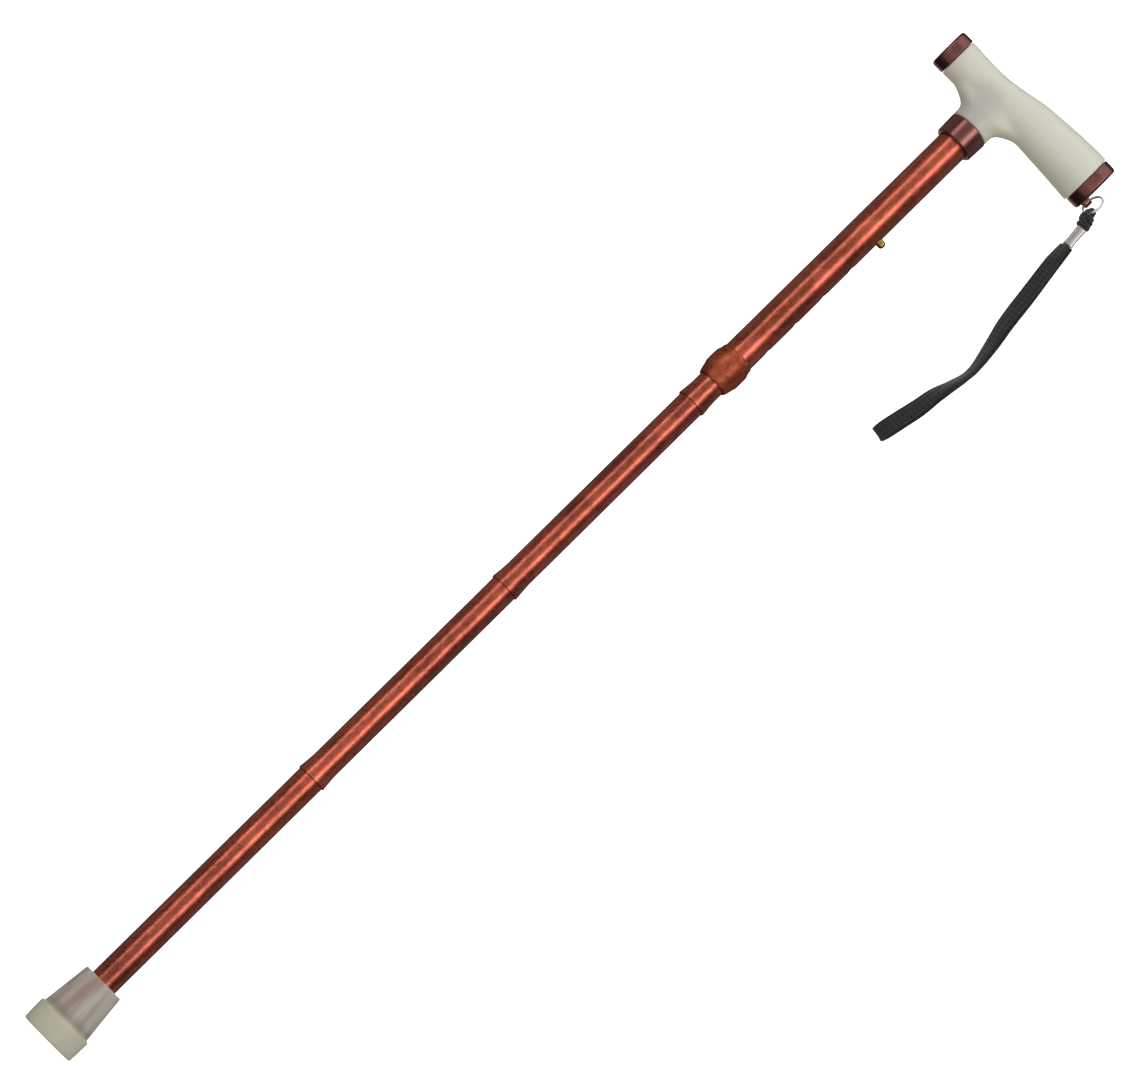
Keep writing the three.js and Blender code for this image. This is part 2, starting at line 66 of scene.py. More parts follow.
SPLIT_RING_R, SWIVEL, LOOP_LEAN = 7.2, -1.0, 0.6
CRIMP_TOP, CRIMP_BOTTOM = Vector((95.4, -9.5, 817.6)), Vector((96.5, -9.5, 803.2))
CORD_R, CORD_ABOVE, CORD_BELOW, KNOT_LENGTH = 2.2, 40, 60, 7.5
CORD_HOLE_R = CORD_R + 0.5
TOP_ANCHOR_Z, BOTTOM_ANCHOR_Z, ANCHOR_LENGTH = 660, 60, 8
PLUG_R = SHAFT_BORE_R - GAP  # what fits inside the lower tubes
BUTTON_HOLE_R, STRAP_HALF_WIDTH, STRAP_HALF_THICKNESS = 3.1, 4.9, 0.62

# ---- camera --------------------------------------------------------------------------------
# The stick hangs diagonally in the photo, so the camera is rolled. It looks up at the stick a little.
TARGET, DISTANCE = Vector((0.00755, 0, 0.444)), 2.5
BELOW, ROLL = math.radians(9), math.radians(45.37)
view_line = Vector((0, math.cos(BELOW), math.sin(BELOW)))
level, upright = Vector((1, 0, 0)), Vector((0, -math.sin(BELOW), math.cos(BELOW)))
right = level * math.cos(ROLL) + upright * math.sin(ROLL)
up = upright * math.cos(ROLL) - level * math.sin(ROLL)
camera = bpy.data.objects.new("camera", bpy.data.cameras.new("camera"))
bpy.context.collection.objects.link(camera)
camera.matrix_world = Matrix.Translation(TARGET - view_line * DISTANCE) @ Matrix(
    (right, up, -view_line)).transposed().to_4x4()
camera.data.lens = 126.5
camera.data.sensor_width = 36
camera.data.clip_end = 50
bpy.context.scene.camera = camera
bpy.context.scene.view_settings.view_transform = "Standard"


# ---- node materials ------------------------------------------------------------------------
def srgb(r, g, b):
    channels = [c / 255 for c in (r, g, b)]
    return [c / 12.92 if c < 0.04045 else ((c + 0.055) / 1.055) ** 2.4 for c in channels] + [1]


class Nodes:
    """Builds one material's nodes: add() makes a node, and its inputs take values or other outputs."""

    def __init__(self, name):
        self.material = bpy.data.materials.new(name)
        self.material.use_nodes = True
        self.tree = self.material.node_tree
        self.shader = self.tree.nodes["Principled BSDF"]

    def add(self, kind, output=0, inputs=None, **settings):
        node = self.tree.nodes.new(kind)
        for key, value in settings.items():
            setattr(node, key, value)
        for key, value in (inputs or {}).items():
            self.put(node.inputs[key], value)
        return node.outputs[output]

    def put(self, socket, value):
        if isinstance(value, bpy.types.NodeSocket):
            self.tree.links.new(value, socket)
        else:
            socket.default_value = value

    def set(self, **values):
        for key, value in values.items():
            self.put(self.shader.inputs[key.replace("_", " ")], value)
        return self.material

    def place(self, scale=(1, 1, 1)):
        where = self.add("ShaderNodeTexCoord", "Object")
        return self.vector("MULTIPLY", where, scale)

    def noise(self, where, scale, detail=3, roughness=0.55):
        return self.add("ShaderNodeTexNoise", "Fac", {
            "Vector": where, "Scale": scale, "Detail": detail, "Roughness": roughness})

    def ramp(self, value, *stops):
        node = self.tree.nodes.new("ShaderNodeValToRGB")
        self.put(node.inputs["Fac"], value)
        ramp = node.color_ramp
        while len(ramp.elements) < len(stops):
            ramp.elements.new(0.5)
        for element, (at, color) in zip(ramp.elements, stops):
            element.position = at
            element.color = color if isinstance(color, list) else [color] * 3 + [1]
        return node.outputs["Color"]

    def mix(self, share, a, b, blend="MIX"):
        node = self.tree.nodes.new("ShaderNodeMix")
        node.data_type, node.blend_type = "RGBA", blend
        for socket, value in ((node.inputs[0], share), (node.inputs[6], a), (node.inputs[7], b)):
            self.put(socket, value)
        return node.outputs[2]

    def math(self, operation, a, b=0.0, clamp=False):
        return self.add("ShaderNodeMath", 0, {0: a, 1: b}, operation=operation, use_clamp=clamp)

    def vector(self, operation, *values):
        return self.add("ShaderNodeVectorMath", 0, dict(enumerate(values)), operation=operation)

    def bump(self, height, strength, distance=0.001):
        normal = self.add("ShaderNodeBump", "Normal", {
            "Height": height, "Strength": strength, "Distance": distance})
        self.put(self.shader.inputs["Normal"], normal)


def darker(color, share):
    return [c * share for c in color[:3]] + [1]


def copper_print(name, base, dark, roughness, scale=1, coat=0.8, facets=0.0):
    """A glossy copper film with a darker print: soft blotches broken up by fine cracks."""
    n = Nodes(name)
    where = n.place((scale, scale, 0.6 * scale))
    warp = n.add("ShaderNodeTexNoise", "Color", {"Vector": where, "Scale": 160, "Detail": 2})
    bent = n.vector("MULTIPLY_ADD", warp, (0.008, 0.008, 0.008), where)
    cracks = n.add("ShaderNodeTexVoronoi", "Distance", {"Vector": bent, "Scale": 260},
                   feature="DISTANCE_TO_EDGE")
    cracks = n.ramp(cracks, (0.0, 0.0), (0.16, 1.0))
    blotch = n.ramp(n.noise(bent, 110, 4, 0.62), (0.36, 0.0), (0.58, 1.0))
    cloud = n.ramp(n.noise(where, 34, 3), (0.35, 0.0), (0.62, 1.0))
    share = n.math("ADD", n.math("MULTIPLY", blotch, 0.5), n.math("MULTIPLY", cloud, 0.5))
    share = n.math("SUBTRACT", share, n.math("MULTIPLY", n.math("SUBTRACT", 1.0, cracks), 0.35), True)
    worn = n.math("MULTIPLY", n.noise(where, 160), 0.10)
    n.set(Base_Color=n.mix(share, dark, base), Metallic=1.0, Roughness=n.math("ADD", worn, roughness))
    n.set(Coat_Weight=coat, Coat_Roughness=0.22)
    if facets:
        cells = {"Vector": n.place((1, 1, 0.8)), "Scale": 420}
        n.bump(n.add("ShaderNodeTexVoronoi", "Distance", cells, feature="F1"), facets, 0.001)
    else:
        n.bump(n.noise(where, 420, 3), 0.06, 0.0004)
    return n.material


def metal(name, color, roughness, metallic=1.0, grain=0.06, brushed=(1, 1, 1)):
    """Bare or anodised metal with a fine grain, drawn out along the axes that brushed is small on."""
    n = Nodes(name)
    streaks = n.noise(n.place(brushed), 900, 3)
    n.set(Base_Color=n.mix(n.noise(n.place(), 60), color, darker(color, 0.82)), Metallic=metallic)
    n.set(Roughness=n.math("ADD", n.math("MULTIPLY", streaks, 0.16), roughness - 0.05))
    n.bump(streaks, grain, 0.0003)
    return n.material


def plastic(name, color, roughness):
    """Moulded plastic with a fine mottle."""
    n = Nodes(name)
    mottle = n.noise(n.place(), 450, 4)
    n.set(Base_Color=n.mix(mottle, color, darker(color, 0.8)), Roughness=roughness)
    n.bump(mottle, 0.12, 0.0003)
    return n.material


def gel_material():
    """Frosted gel. A violet-grey painted shade over the stem stands for the stiff core showing through where
    the gel is thin.
    """
    n = Nodes("frosted_gel")
    where = n.add("ShaderNodeTexCoord", "Object")
    # Painted shade: a violet-grey patch round the stem, darkest at its middle, for the core seen through the
    # gel.
    near = n.vector("MULTIPLY", n.vector("ADD", where, (0.006, 0, -0.821)), (58, 0, 36))
    near = n.add("ShaderNodeVectorMath", "Value", {0: near}, operation="LENGTH")
    core = n.ramp(near, (0.0, 0.75), (0.35, 0.62), (1.0, 0.0))
    # The body colour is darker and yellower towards the bottom.
    height = n.add("ShaderNodeSeparateXYZ", "Z", {0: where})
    low = n.add("ShaderNodeMapRange", 0, {"Value": height, 1: 0.826, 2: 0.85})
    body = n.mix(low, srgb(192, 188, 168), srgb(203, 203, 190))
    cloud = n.noise(where, 45, 2)
    body = n.mix(n.math("MULTIPLY", cloud, 0.35), body, srgb(208, 207, 194))
    n.set(Base_Color=n.mix(core, body, srgb(162, 158, 158)), Roughness=0.42)
    n.set(Subsurface_Weight=0.4, Subsurface_Radius=(0.006, 0.0055, 0.004), Subsurface_Scale=1.0)
    n.set(Coat_Weight=0.08, Coat_Roughness=0.3)
    n.bump(n.noise(where, 1500, 2), 0.05, 0.0002)
    return n.material


def tip_material():
    """Translucent rubber. Up the cone, streaks of the tube's colour are painted for the tube seen through it,
    and a painted shade darkens it where the tube ends.
    """
    n = Nodes("translucent_rubber")
    where = n.add("ShaderNodeTexCoord", "Object")
    height = n.add("ShaderNodeSeparateXYZ", "Z", {0: where})
    up_cone = n.add("ShaderNodeMapRange", 0, {"Value": height, 1: 0.0135, 2: 0.0185},
                    interpolation_type="SMOOTHSTEP")
    cloud = n.noise(where, 90, 3)
    # Painted see-through: reddish streaks up the cone stand for the tube seen through the rubber.
    streaks = n.ramp(n.noise(n.place((1, 1, 0.12)), 120, 2), (0.38, 0.0), (0.62, 1.0))
    cone = n.mix(streaks, srgb(174, 150, 140), srgb(198, 192, 181))
    # Painted shade: a darker band where the tube ends inside the rubber.
    tube_end_shade = n.ramp(n.math("ABSOLUTE", n.math("SUBTRACT", height, 0.0185)), (0.0, 0.5), (0.0035, 0.0))
    cone = n.mix(tube_end_shade, cone, srgb(140, 136, 128))
    foot = n.mix(cloud, srgb(204, 200, 174), srgb(218, 215, 194))
    n.set(Base_Color=n.mix(up_cone, foot, cone), Roughness=0.36)
    n.set(Subsurface_Weight=0.3, Subsurface_Radius=(0.004, 0.0035, 0.0028), Subsurface_Scale=1.0)
    n.set(Transmission_Weight=0.2, IOR=1.42)
    n.bump(n.noise(where, 900, 3), 0.1, 0.0003)
    return n.material


def woven(name, across, along, light, dark):
    """Threads that follow the piece's own u (across or round) and v (along), in threads."""
    n = Nodes(name)
    where = n.add("ShaderNodeTexCoord", "UV")
    parts = n.tree.nodes.new("ShaderNodeSeparateXYZ")
    n.put(parts.inputs[0], where)
    u = n.math("MULTIPLY", parts.outputs["X"], across * math.pi)
    v = n.math("MULTIPLY", parts.outputs["Y"], along * math.pi)
    ribs = n.math("MULTIPLY", n.math("SINE", n.math("ADD", u, v)), n.math("SINE", n.math("SUBTRACT", v, u)))
    fuzz = n.noise(n.place(), 2500, 3)
    height = n.math("ADD", n.math("MULTIPLY", ribs, 0.5), n.math("MULTIPLY", fuzz, 0.6))
    # The colour follows the weave's height: the grooves between threads are painted shade, and the fuzz adds
    # random tone.
    n.set(Base_Color=n.mix(n.math("ADD", height, 0.2, True), dark, light), Roughness=0.88)
    n.set(Sheen_Weight=0.35, Sheen_Roughness=0.5)
    n.bump(height, 0.6, 0.0005)
    return n.material


COPPER = copper_print("copper_print", [0.90, 0.185, 0.095, 1], [0.38, 0.066, 0.034, 1], 0.32)
LOCK_COPPER = copper_print("faceted_copper", [0.80, 0.19, 0.09, 1], [0.42, 0.085, 0.04, 1], 0.46,
                           scale=1.6, coat=0.15, facets=0.12)
MAROON = metal("maroon_anodised", srgb(158, 104, 96), 0.27, 0.95, 0.08)
GEL = gel_material()
CORE = plastic("core_plastic", srgb(141, 135, 148), 0.6)
BRASS = metal("brass", srgb(214, 184, 104), 0.2, 1, 0.02)
BRIGHT = metal("bright_steel", srgb(228, 229, 230), 0.28, 0.55, 0.03)
CRIMP = metal("crimp_steel", srgb(214, 211, 198), 0.34, 1, 0.03)
STEEL = metal("plain_steel", srgb(176, 178, 182), 0.34, 1, 0.06, (1, 1, 6))
SPIGOT = metal("turned_spigot", srgb(150, 152, 156), 0.36, 0.9, 0.1, (1, 1, 9))
BLACK = plastic("black_plastic", srgb(34, 34, 36), 0.5)
TIP = tip_material()
ELASTIC = woven("elastic_braid", 10, 560, srgb(58, 58, 62), srgb(22, 22, 24))
WEBBING = woven("webbing", 9, 300, srgb(34, 32, 31), srgb(12, 11, 11))
LOOP = woven("loop_cord", 8, 60, srgb(34, 32, 32), srgb(10, 9, 9))


# ---- mesh helpers --------------------------------------------------------------------------
def made(name, points, faces, material, uv=None, smooth=38):
    """A new object from points in millimetres. uv gives u, v for each point."""
    mesh = bpy.data.meshes.new(name)
    mesh.from_pydata([tuple(Vector(p) * MM) for p in points], [], faces)
    if uv is not None:
        layer = mesh.uv_layers.new(name="UVMap")
        for loop in mesh.loops:
            layer.data[loop.index].uv = uv[loop.vertex_index]
    mesh.validate()
    tidy = bmesh.new()
    tidy.from_mesh(mesh)
    bmesh.ops.recalc_face_normals(tidy, faces=tidy.faces)
    tidy.to_mesh(mesh)
    tidy.free()
    mesh.shade_smooth()
    mesh.set_sharp_from_angle(angle=math.radians(smooth))
    mesh.materials.append(material)
    obj = bpy.data.objects.new(name, mesh)
    bpy.context.collection.objects.link(obj)
    return obj


def rounded(profile, radius, closed):
    """The profile with each sharp corner rounded. A radius may be given as a corner's third number."""
    out = []
    count = len(profile)
    for i, corner in enumerate(profile):
        here = Vector(corner[:2])
        size = corner[2] if len(corner) > 2 else radius
        if not closed and i in (0, count - 1) or size == 0:
            out.append(tuple(here))
            continue
        before, after = Vector(profile[i - 1][:2]) - here, Vector(profile[(i + 1) % count][:2]) - here
        if before.length < 1e-6 or after.length < 1e-6 or math.pi - before.angle(after) < 0.2:
            out.append(tuple(here))
            continue
        reach = min(size, before.length * 0.45, after.length * 0.45)
        a, b = here + before.normalized() * reach, here + after.normalized() * reach
        for k in range(5):
            t = k / 4
            out.append(tuple(a * (1 - t) ** 2 + here * 2 * t * (1 - t) + b * t * t))
    return out


def lathe(name, profile, material, closed=True, radius=0.25, sides=96, axis="Z", lift=0):
    """A profile of (radius, z) turned about Z, or about a line along X that is raised by lift.

    A closed profile makes a ring, and an open one, which starts and ends at radius 0, a solid.
    """
    profile = rounded(profile, radius, closed)
    points, faces = [], []
    for r, z in profile:
        for k in range(sides):
            turn = 2 * math.pi * k / sides
            x, y = r * math.cos(turn), r * math.sin(turn)
            points.append((x, y, z) if axis == "Z" else (z, y, x + lift))
    rows = len(profile)
    for i in range(rows if closed else rows - 1):
        j = (i + 1) % rows
        for k in range(sides):
            m = (k + 1) % sides
            faces.append((i * sides + k, i * sides + m, j * sides + m, j * sides + k))
    obj = made(name, points, faces, material)
    if not closed:
        tidy = bmesh.new()
        tidy.from_mesh(obj.data)
        bmesh.ops.remove_doubles(tidy, verts=tidy.verts, dist=1e-6)
        bmesh.ops.recalc_face_normals(tidy, faces=tidy.faces)
        tidy.to_mesh(obj.data)
        tidy.free()
    return obj


def frames(points, hint):
    """Two directions across each point of a path, the first as near hint as can be."""
    out = []
    for i, p in enumerate(points):
        tangent = (points[min(i + 1, len(points) - 1)] - points[max(i - 1, 0)]).normalized()
        want = hint[i] if isinstance(hint, list) else hint
        across = (want - tangent * want.dot(tangent)).normalized()
        out.append((across, tangent.cross(across)))
    return out


def swept(name, path, section, material, hint, ring=False, smooth=50):
    """A closed section of (across, other) swept along a path. v of the uv runs along it in metres."""
    points, faces, uv = [], [], []
    along = 0.0
    lined = frames(path, hint)
    for i, (p, (a, b)) in enumerate(zip(path, lined)):
        along += (p - path[i - 1]).length * MM if i else 0
        around = section(i) if callable(section) else section
        sides = len(around)
        for k, (s, t) in enumerate(around):
            points.append(p + a * s + b * t)
            uv.append((k / sides, along))
    for i in range(len(path) if ring else len(path) - 1):
        j = (i + 1) % len(path)
        for k in range(sides):
            m = (k + 1) % sides
            faces.append((i * sides + k, i * sides + m, j * sides + m, j * sides + k))
    if not ring:
        faces += [tuple(range(sides)), tuple(range(len(points) - sides, len(points)))]
    return made(name, points, faces, material, uv, smooth)


def round_section(r, sides=16):
    turns = [2 * math.pi * k / sides for k in range(sides)]
    return [(r * math.cos(turn), r * math.sin(turn)) for turn in turns]


def spline(knots, steps):
    """A Catmull-Rom curve through the knots."""
    knots = [Vector(k) for k in knots]
    ends = [knots[0] * 2 - knots[1], *knots, knots[-1] * 2 - knots[-2]]
    out = []
    for i in range(len(knots) - 1):
        a, b, c, d = ends[i:i + 4]
        for k in range(steps):
            t = k / steps
            out.append(0.5 * ((2 * b) + (c - a) * t + (2 * a - 5 * b + 4 * c - d) * t * t
                              + (3 * b - a - 3 * c + d) * t ** 3))
    return out + [knots[-1]]


def joined(first, *others):
    """One object from several."""
    total = bmesh.new()
    for obj in (first, *others):
        total.from_mesh(obj.data)
    total.to_mesh(first.data)
    total.free()
    for obj in others:
        bpy.data.objects.remove(obj)
    return first


def drilled(obj, cutters, smooth=38):
    """obj with the cutters taken out of it."""
    for cutter in cutters:
        change = obj.modifiers.new("cut", "BOOLEAN")
        change.object, change.operation, change.solver = cutter, "DIFFERENCE", "EXACT"
    bpy.context.view_layer.update()
    done = bpy.data.meshes.new_from_object(obj.evaluated_get(bpy.context.evaluated_depsgraph_get()))
    obj.modifiers.clear()
    obj.data = done
    for cutter in cutters:
        bpy.data.objects.remove(cutter)
    done.shade_smooth()
    done.set_sharp_from_angle(angle=math.radians(smooth))
    return obj


def part(obj, body, slot, *nodes):
    """obj rides on a body and stands for CAD nodes, which it hides. slot is not used."""
    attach(obj, body)
    if nodes:
        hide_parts(*nodes)
    return obj


# ---- wrist strap: the cord -----------------------------------------------------------------
STRAP_END = 8.6  # how far the turn at the bottom hangs below the last point
# Down the strap: x, z, half the gap between its two lengths, how far the webbing is turned in degrees,
# and how far the two lengths have slipped sideways.
STRAP = [
    (96.5, 802.7, 1.75, 60, 0), (97.2, 793, 1.85, 44, 0), (97.9, 786, 1.9, 28, 0),
    (101.1, 762, 1.9, 26, 0.3), (104.0, 739, 1.85, 42, 0.3), (107.2, 723, 1.8, 56, 0),
    (109.9, 706, 1.0, 68, 0), (109.8, 696, 1.0, 72, 0), (107.2, 684, 1.8, 66, 0),
    (104.5, 673, 1.95, 40, 0), (102.6, 660, 2.2, 18, 0.5), (100.1, 648, 2.6, 8, 0.8),
    (97.9, 637.5, 3.0, 4, 1.0),
]


def strap_path():
    """The webbing's middle line, down one length and up the other, and its width's direction there."""
    knots = spline([(x, z, 0) for x, z, _, _, _ in STRAP], 8)
    share, rows = np.linspace(0, 1, len(knots)), np.linspace(0, 1, len(STRAP))
    gaps, turns, slips = (np.interp(share, rows, [row[k] for row in STRAP]) for k in (2, 3, 4))
    middle = [Vector((k.x, CRIMP_TOP.y, k.y)) for k in knots]
    front, back, widths = [], [], []
    for i, p in enumerate(middle):
        along = (middle[min(i + 1, len(middle) - 1)] - middle[max(i - 1, 0)]).normalized()
        level_way = along.cross(Vector((0, 1, 0))).normalized()
        if level_way.x < 0:
            level_way = -level_way
        turn = math.radians(turns[i])
        wide = level_way * math.cos(turn) + Vector((0, -math.sin(turn), 0))
        face = along.cross(wide).normalized()
        if face.y > 0:
            face = -face
        front.append(p + face * gaps[i] - wide * slips[i])
        back.append(p - face * gaps[i] + wide * slips[i])
        widths.append(wide)
    half, middle_end = (front[-1] - back[-1]) / 2, (front[-1] + back[-1]) / 2
    along = (middle[-1] - middle[-2]).normalized()
    bend = [middle_end + half * math.cos(a) + along * (STRAP_END * math.sin(a))
            for a in np.linspace(0, math.pi, 15)[1:-1]]
    return front + bend + back[::-1], widths + [widths[-1]] * len(bend) + widths[::-1]


strap_line, strap_wide = strap_path()
WEBBING_EDGE = [(-1, -0.5), (-0.9, -1), (-0.45, -0.86), (0, -1), (0.45, -0.86), (0.9, -1), (1, -0.5)]
WEBBING_EDGE += [(-u, -v) for u, v in WEBBING_EDGE]
WEBBING_SECTION = [(u * STRAP_HALF_WIDTH, v * STRAP_HALF_THICKNESS) for u, v in WEBBING_EDGE]
strap = part(swept("webbing_strap", strap_line, WEBBING_SECTION, WEBBING, strap_wide),
             "strap", "strap_webbing", "wrist_strap")
strap_length = sum((b - a).length for a, b in zip(strap_line, strap_line[1:])) * MM


# ---- ring, loop and crimp ------------------------------------------------------------------
along_ring = Vector((math.cos(SWIVEL), math.sin(SWIVEL), 0))
across_ring = Vector((-math.sin(SWIVEL), math.cos(SWIVEL), 0))


def double_coil():
    """Two turns of flat wire, side by side, with the step between them in one place."""
    path = []
    for a in np.linspace(0.35, 0.35 + 4 * math.pi, 193):
        side = -0.46 + 0.92 / (1 + math.exp(-(a - 0.35 - 2 * math.pi) * 2.2))
        spoke = along_ring * math.cos(a) + Vector((0, 0, 1)) * math.sin(a)
        path.append(EYE + along_ring * SPLIT_RING_R + spoke * SPLIT_RING_R + across_ring * side)
    return path


wire = [(across * 1.25, out) for across, out in round_section(0.44, 14)]
part(swept("coiled_ring", double_coil(), wire, BRIGHT, across_ring),
     "strap_ring", "steel_bright", "split_ring")


def loop_strand(name, half, lift, lean, thick):
    """One strand over the ring's wire and down both sides of it to the crimp."""
    tilt = LOOP_LEAN + lean
    crown = EYE + along_ring * SPLIT_RING_R * (1 + math.sin(tilt))
    crown.z = EYE.z - SPLIT_RING_R * math.cos(tilt) + 1.85 + lift
    foot = CRIMP_TOP + Vector((0, 0, 0.2))

    def side(sign):
        shoulder = crown + across_ring * (sign * half)
        return [foot + across_ring * (sign * 1.2), foot + across_ring * (sign * 2.1) + Vector((0, 0, 2.8)),
                shoulder - Vector((0, 0, 3)), crown.lerp(shoulder, 0.72) - Vector((0, 0, 0.8))]

    knots = side(-1) + [crown] + side(1)[::-1]
    return swept(name, spline(knots, 7), round_section(thick, 14), LOOP, along_ring, smooth=60)


# The thread wound round the loop: each turn's height above the crimp, half width and tilt. Then its two ends.
BINDING_TURNS = [(2.0, 3.5, 0.25), (4.3, 3.9, -0.3), (6.6, 4.1, 0.35), (8.6, 3.6, -0.2)]
BINDING_ENDS = [((-2.2, -1.6, 6.4), (-4.6, -2.6, 5.2), (-6.4, -2.2, 3.6)),
                ((-1.8, -1.8, 3.2), (-3.6, -2.8, 2.2), (-4.8, -2.2, 1.0))]


def binding():
    """The thread wound round the loop above the crimp, with its two ends left out."""
    level_hint = Vector((0, 0, 1))
    pieces = []
    for n, (rise, wide, tilt) in enumerate(BINDING_TURNS):
        middle = CRIMP_TOP + Vector((-0.3 * rise, 0, rise))
        path = []
        for a in np.linspace(0, 2 * math.pi, 33)[:-1]:
            lift = tilt * 2.2 * math.cos(a + n)
            path.append(middle + Vector((wide * math.cos(a), 2.7 * math.sin(a), lift)))
        pieces.append(swept(f"turn_{n}", path, round_section(1.3, 12), LOOP, level_hint, True, 60))
    for n, knots in enumerate(BINDING_ENDS):
        path = spline([CRIMP_TOP + Vector(v) for v in knots], 6)
        pieces.append(swept(f"end_{n}", path, round_section(1.1, 12), LOOP, level_hint, smooth=60))
    return pieces


loop = joined(loop_strand("loop_cord", 2.2, -0.2, 0.0, 1.1), loop_strand("second", 1.8, 0.4, -0.25, 1.0),
              loop_strand("third", 2.6, -0.2, 0.22, 0.95), *binding())
part(loop, "strap", "strap_webbing", "strap_loop")


def folded_crimp():
    """A metal clip folded round the webbing, with its seam at the front."""
    path = [CRIMP_TOP.lerp(CRIMP_BOTTOM, t) for t in np.linspace(0, 1, 15)]
    corner, seam, seam_half = 1.1, 0.9, 0.4

    def section(i):
        waist = math.sin(math.pi * i / 14)
        wide, deep = 3.3 - 0.25 * waist, 2.85 - 0.35 * waist
        outer = []
        for x, y, start in ((1, 1, 0), (-1, 1, 90), (-1, -1, 180), (1, -1, 270)):
            cx, cy = x * (wide - corner), y * (deep - corner)
            for turn in (math.radians(start + d) for d in (0, 30, 60, 90)):
                outer.append((cx + corner * math.cos(turn), cy + corner * math.sin(turn)))
        # The front face, at -deep, is open at the seam: its two edges turn in.
        at = next(k for k, (x, y) in enumerate(outer) if y < 0 and x > 0)
        lip = [(seam_half + 0.25, 0), (seam_half, 0.3), (seam_half - 0.02, 1.1)]
        left_lip = [(seam - x, y - deep) for x, y in lip]
        right_lip = [(seam + x, y - deep) for x, y in lip[::-1]]
        return outer[:at] + left_lip + right_lip + outer[at:]

    return swept("crimp_clip", path, section, CRIMP, Vector((1, 0, 0)), smooth=35)


crimp = part(folded_crimp(), "strap", "steel_bright", "strap_crimp")
[tuple(p * MM) for p in strap_line]


# ---- handle --------------------------------------------------------------------------------
TOP_LINE = [(-38.2, 856.2), (-21.7, 855.6), (-6.2, 855.9), (10.3, 858.5), (23.7, 861.2), (42.3, 862.8),
            (59.9, 863.7), (75.9, 863.8)]
UNDER_LINE = [(-38.2, 828.2), (-20.6, 828.6), (0, 829.8), (25.8, 829.6), (41.3, 828.9), (54.7, 828.4),
              (75.9, 827.1)]
NECK_TOP_Z, FLARE_Z, FLARE_HEIGHT = 834.9, 819.9, 10.5


def outline(line):
    """The height of a smooth curve through the points of a line, as a function of x."""
    fine = spline([(x, z, 0) for x, z in line], 12)
    return lambda x: float(np.interp(x, [p.x for p in fine], [p.y for p in fine]))


def capped_tube(name, rings, sides, place, material):
    """A closed tube whose points are place(share along it, turn round it)."""
    points = [place(i / (rings - 1), 2 * math.pi * k / sides) for i in range(rings) for k in range(sides)]
    faces = []
    for start in range(0, (rings - 1) * sides, sides):
        for k in range(sides):
            m = (k + 1) % sides
            faces.append((start + k, start + m, start + sides + m, start + sides + k))
    faces += [tuple(range(sides)), tuple(range((rings - 1) * sides, rings * sides))]
    return made(name, points, faces, material)


def gel_grip():
    """The bar and the neck, melted into one skin, with the hollow between them softened most."""
    top, under = outline(TOP_LINE), outline(UNDER_LINE)

    def bar(t, turn):
        x = GRIP_X[1] + (GRIP_X[0] - GRIP_X[1]) * t
        half, middle = (top(x) - under(x)) / 2, (top(x) + under(x)) / 2
        slim = 1 - 0.07 * math.sin(math.pi * t)
        return (x, half * slim * math.cos(turn), middle + half * math.sin(turn))

    def neck(t, turn):
        z = COLLAR_Z[1] + 0.1 + (NECK_TOP_Z - COLLAR_Z[1]) * t
        spread = min(max((z - FLARE_Z) / FLARE_HEIGHT, 0), 1) ** 2
        across = math.cos(turn)
        reach = 14.3 + 19.6 * spread if across < 0 else 13.9 + 15.5 * spread
        return (reach * across, -(14.1 - 3.6 * spread) * math.sin(turn), z)

    grip = joined(capped_tube("gel_cover", 90, 96, bar, GEL), capped_tube("neck", 36, 96, neck, GEL))
    skin = grip.modifiers.new("skin", "REMESH")
    skin.mode, skin.voxel_size, skin.adaptivity = "VOXEL", 0.0007, 0
    soft = grip.modifiers.new("soft", "SMOOTH")
    soft.factor, soft.iterations = 0.5, 14
    bpy.context.view_layer.update()
    done = bpy.data.meshes.new_from_object(grip.evaluated_get(bpy.context.evaluated_depsgraph_get()))
    grip.modifiers.clear()
    grip.data = done
    blend = bmesh.new()
    blend.from_mesh(done)
    junction = [v for v in blend.verts if -0.030 < v.co.x < 0.050 and v.co.z > 0.817]
    every_way = dict(use_axis_x=True, use_axis_y=True, use_axis_z=True)
    for _ in range(40):
        bmesh.ops.smooth_vert(blend, verts=junction, factor=0.5, **every_way)
    blend.to_mesh(done)
    blend.free()
    done.shade_smooth()
    return grip


part(gel_grip(), "handle", "gel_frost", "gel_grip")
foot, tube_top, left, right_end = 782, HANDLE_TUBE_Z[1], GRIP_X[0] + 0.4, GRIP_X[1] - 0.4
stem = [(0, foot), (9.7, foot), (9.7, tube_top), (9, tube_top), (9, CORE_TOP_Z), (0, CORE_TOP_Z)]
crossbar = [(0, left), (7, left), (7, right_end), (0, right_end)]
core = joined(lathe("stiff_core", stem, CORE, False, 0.8),
              lathe("bar", crossbar, CORE, False, 0.5, axis="X", lift=CORE_Z))
part(core, "handle", "core_grey", "grip_core")


def end_cap(name, cap):
    """A turned metal cap with a rounded rim."""
    (inner, outer), r, z = cap["x"], cap["r"], cap["z"]
    way = math.copysign(1, outer - inner)
    profile = [(0, inner), (r - 0.35, inner), (r, inner + way * 0.35), (r, outer - way * 1.9),
               (r - 0.12, outer - way * 1.5), (r - 0.75, outer - way * 0.25, 0.8), (r - 2.2, outer, 0.5),
               (0, outer)]
    return lathe(name, profile, MAROON, False, 0.3, 128, axis="X", lift=z)


